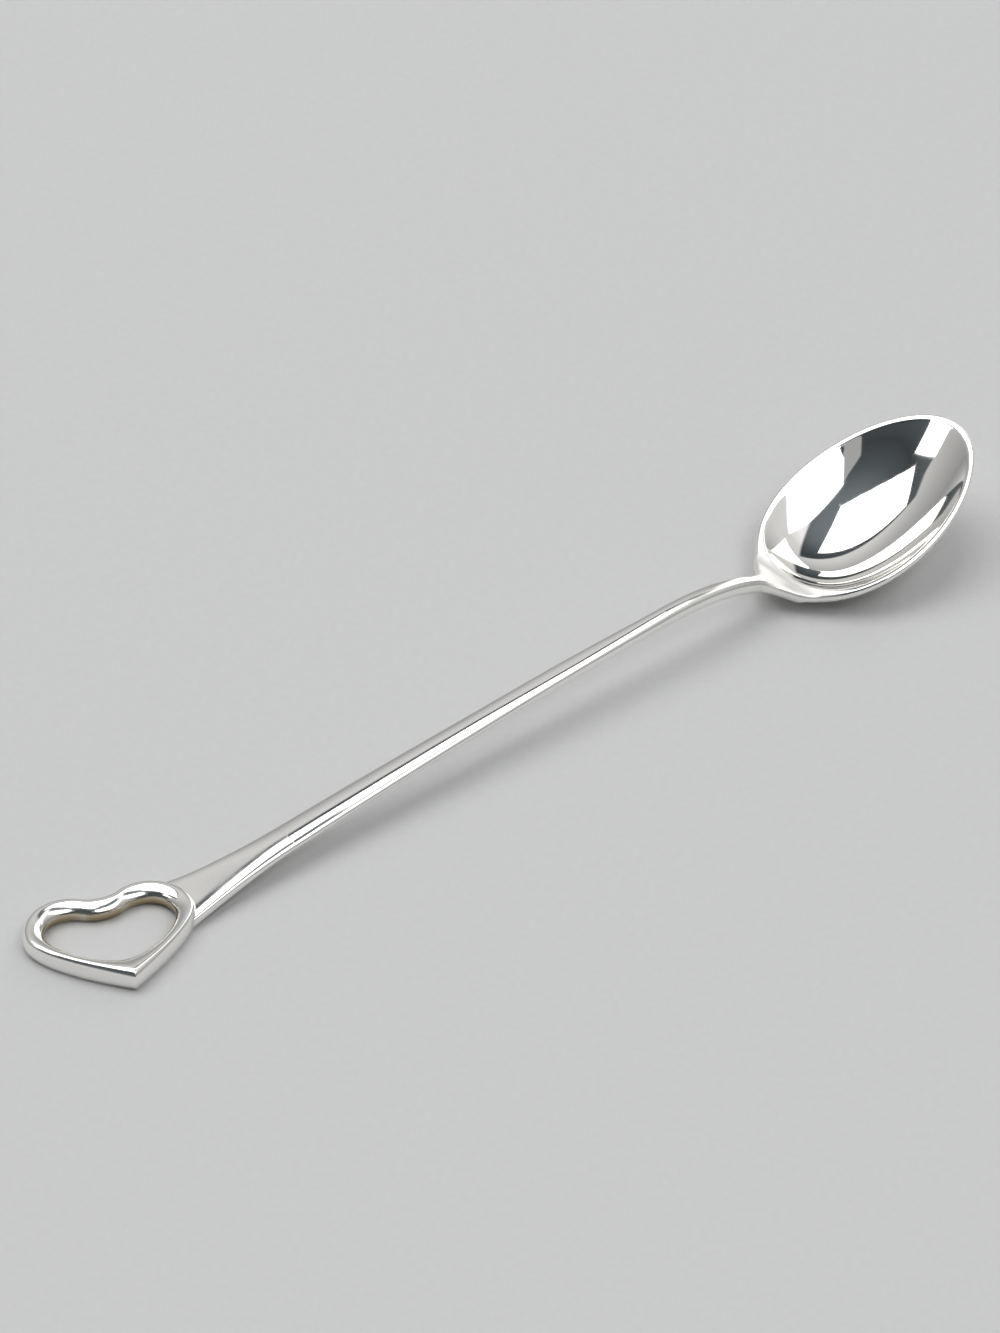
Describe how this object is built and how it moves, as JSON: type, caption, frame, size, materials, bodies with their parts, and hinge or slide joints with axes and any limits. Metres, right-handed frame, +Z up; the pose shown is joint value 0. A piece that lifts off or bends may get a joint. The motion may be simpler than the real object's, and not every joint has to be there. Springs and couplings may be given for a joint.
{
  "type": "teaspoon",
  "caption": "Slender polished silver teaspoon: a pitched egg-shaped bowl with a flat rim, a cranked neck, a tapered stem and a flat palm that opens into a heart-shaped ring.",
  "frame": {"origin": "middle of the spoon's footprint, on the surface that it lies on", "axes": "+X along the spoon from the heart ring to the bowl's tip, +Y to the side, +Z up"},
  "size_m": [0.1488, 0.024, 0.0142],
  "materials": {
    "polished_silver": "mirror polished sterling silver",
    "drawn_silver": "plain drawn silver wire",
    "silver_solder": "silver solder, filed flush and polished"
  },
  "bodies": {
    "root": {"bowl": "polished_silver", "stem": "polished_silver", "heart_finial": "polished_silver", "neck_peg": "drawn_silver", "finial_peg": "drawn_silver", "neck_solder": "silver_solder", "finial_solder": "silver_solder"}
  },
  "joints": []
}
